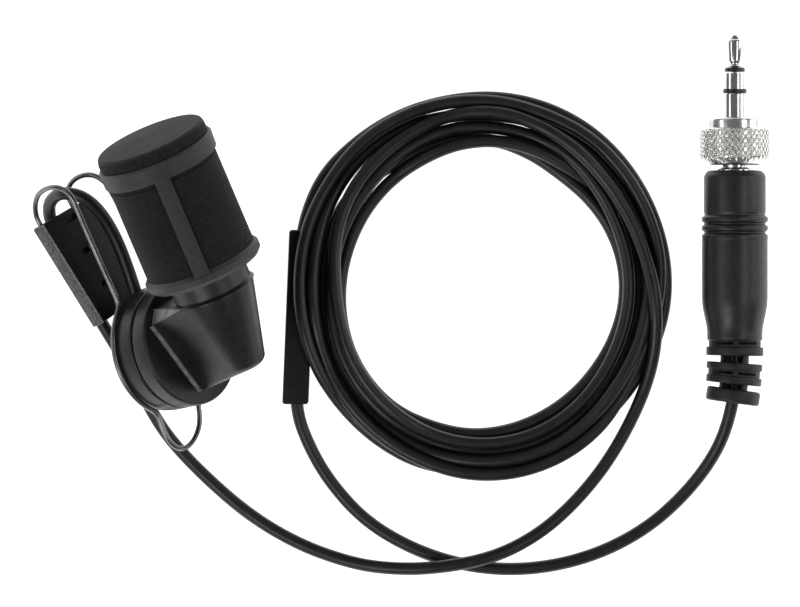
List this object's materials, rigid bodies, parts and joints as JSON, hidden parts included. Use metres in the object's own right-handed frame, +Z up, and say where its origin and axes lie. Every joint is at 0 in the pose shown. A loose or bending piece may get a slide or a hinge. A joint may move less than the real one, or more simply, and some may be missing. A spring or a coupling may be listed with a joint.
{
  "type": "lavalier microphone",
  "caption": "Clip-on microphone with a caged wind screen on a swivel socket and spring-wire clip, its thin cable coiled and ending in a screw-locking 3.5 mm plug.",
  "frame": {"origin": "on the table under the middle of the microphone and clip, without the cable and plug", "axes": "+Z up from the table, +Y along the plug towards its tip, +X from the microphone towards the coil and plug"},
  "size_m": [0.1091, 0.0796, 0.0338],
  "materials": {
    "cage_plastic": "fine satin moulding",
    "gauze_cloth": "fine woven acoustic cloth",
    "foam": "open-cell foam",
    "gloss_black": "polished black plastic",
    "satin_black": "satin black plastic",
    "jaw_black": "grained black plastic",
    "rubber_black": "soft black rubber",
    "cable_jacket": "smooth satin jacket",
    "plug_mould": "moulded soft plastic",
    "spring_steel": "dark spring steel",
    "contact_metal": "nickel-plated contact",
    "nut_metal": "nickel-plated knurled nut",
    "brass_parts": "turned brass",
    "insulator_black": "black insulator",
    "capsule_metal": "bright aluminium can",
    "film": "metallised film",
    "board": "circuit board"
  },
  "bodies": {
    "root": {"detent_washer": "spring_steel", "clip_base_disc": "satin_black", "swivel_rivet": "brass_parts", "cable_elbow": "rubber_black", "spring_wire": "spring_steel", "cable_clip_loop": "cable_jacket", "cable_mic_run": "cable_jacket", "cable_plug_run": "cable_jacket", "cable_marker_link": "cable_jacket", "cable_marker": "rubber_black", "cable_coil": "cable_jacket", "plug_tip": "contact_metal", "tip_insulator": "insulator_black", "plug_ring": "contact_metal", "ring_insulator": "insulator_black", "plug_sleeve": "contact_metal", "solder_core": "insulator_black", "plug_body": "plug_mould", "cable_clamp": "brass_parts", "strain_relief": "plug_mould", "cable_in_plug": "cable_jacket"},
    "microphone": {"windscreen_cage": "cage_plastic", "side_gauze": "gauze_cloth", "top_gauze_cap": "gauze_cloth", "foam_liner": "foam", "mic_neck": "gloss_black", "neck_seal_ring": "rubber_black", "capsule_boot": "rubber_black", "capsule_can": "capsule_metal", "diaphragm_ring": "brass_parts", "diaphragm": "film", "spacer_ring": "insulator_black", "backplate": "brass_parts", "preamp_board": "board", "backplate_holder": "insulator_black", "lead_grommet": "rubber_black", "inner_lead": "cable_jacket", "swivel_holder": "gloss_black"},
    "jaw": {"clip_jaw": "jaw_black", "jaw_back_pad": "rubber_black"},
    "nut": {"locking_nut": "nut_metal"}
  },
  "joints": [
    {"name": "mic_swivel", "type": "hinge", "parent": "root", "child": "microphone", "pos_m": [0.00659, -0.00795, 0.0118], "axis": [0.6977, 0.1483, 0.7009], "range_deg": [-45, 180]},
    {"name": "jaw_pivot", "type": "hinge", "parent": "root", "child": "jaw", "pos_m": [-0.01255, 0.00952, 0.00647], "axis": [0.5891, 0.4381, -0.679], "range_deg": [-4, 5], "stiffness_Nm_per_rad": 0.05},
    {"name": "nut_spin", "type": "hinge", "parent": "root", "child": "nut", "pos_m": [0.08639, 0.02672, 0.0052], "axis": [0, 1, 0], "continuous": true}
  ]
}
